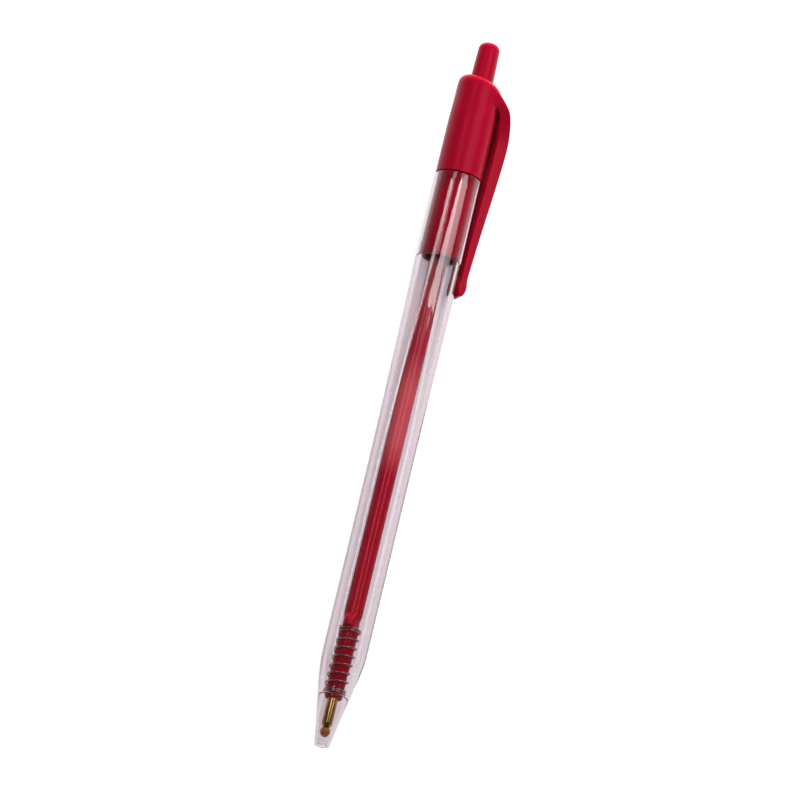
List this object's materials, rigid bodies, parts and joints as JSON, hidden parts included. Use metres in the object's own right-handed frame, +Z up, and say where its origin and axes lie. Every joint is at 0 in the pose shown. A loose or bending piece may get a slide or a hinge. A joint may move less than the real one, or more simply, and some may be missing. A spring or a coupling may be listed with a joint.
{
  "type": "pushbutton ballpoint pen",
  "caption": "Retractable ballpoint pen: clear barrel with a three-sided grip and cone nose, red cap with a sprung clip, push button, refill and return spring inside.",
  "frame": {"origin": "middle of the underside of the pen as it lies at rest on a table, on its barrel and the edge of its clip", "axes": "+X along the pen from the nose to the button, +Z up, so the clip points to -Y and a little down"},
  "size_m": [0.148, 0.0128, 0.0094],
  "materials": {
    "clear_plastic": "clear and glossy",
    "red_plastic": "satin",
    "tinted_tube": "translucent",
    "red_ink": "wet",
    "brass": "turned",
    "amber_wax": "wax",
    "carbide": "polished",
    "spring_steel": "drawn wire"
  },
  "bodies": {
    "housing": {"barrel": "clear_plastic", "clip_cap": "red_plastic", "return_spring": "spring_steel"},
    "clip": {"clip_arm": "red_plastic"},
    "button": {"push_button": "red_plastic"},
    "refill": {"refill_tube": "tinted_tube", "ink_column": "red_ink", "point_housing": "brass", "tip_seal": "amber_wax"},
    "rotor": {"rotor_cam": "red_plastic"},
    "ball": {"writing_ball": "carbide"}
  },
  "joints": [
    {"name": "button_press", "type": "slide", "parent": "housing", "child": "button", "axis": [-1, 0, 0], "range_m": [0, 0.006], "stiffness_N_per_m": 200, "springref_m": -0.012},
    {"name": "refill_slide", "type": "slide", "parent": "housing", "child": "refill", "axis": [-1, 0, 0], "range_m": [0, 0.0052], "deforming": ["return_spring"]},
    {"name": "cam_turn", "type": "hinge", "parent": "refill", "child": "rotor", "pos_m": [0.0394, 0.00169, 0.0047], "axis": [1, 0, 0], "range_deg": [0, 45]},
    {"name": "ball_roll", "type": "hinge", "parent": "refill", "child": "ball", "pos_m": [-0.07127, 0.00169, 0.0047], "axis": [0, 1, 0], "continuous": true},
    {"name": "clip_flex", "type": "hinge", "parent": "housing", "child": "clip", "pos_m": [0.05765, -0.00411, 0.0027], "axis": [0, -0.3257, 0.9455], "range_deg": [0, 6], "stiffness_Nm_per_rad": 2}
  ],
  "couplings": [
    {"joint": "refill_slide", "follows": "button_press", "ratio": 0.86667},
    {"joint": "cam_turn", "follows": "button_press", "rad_per_m": 130.9}
  ]
}
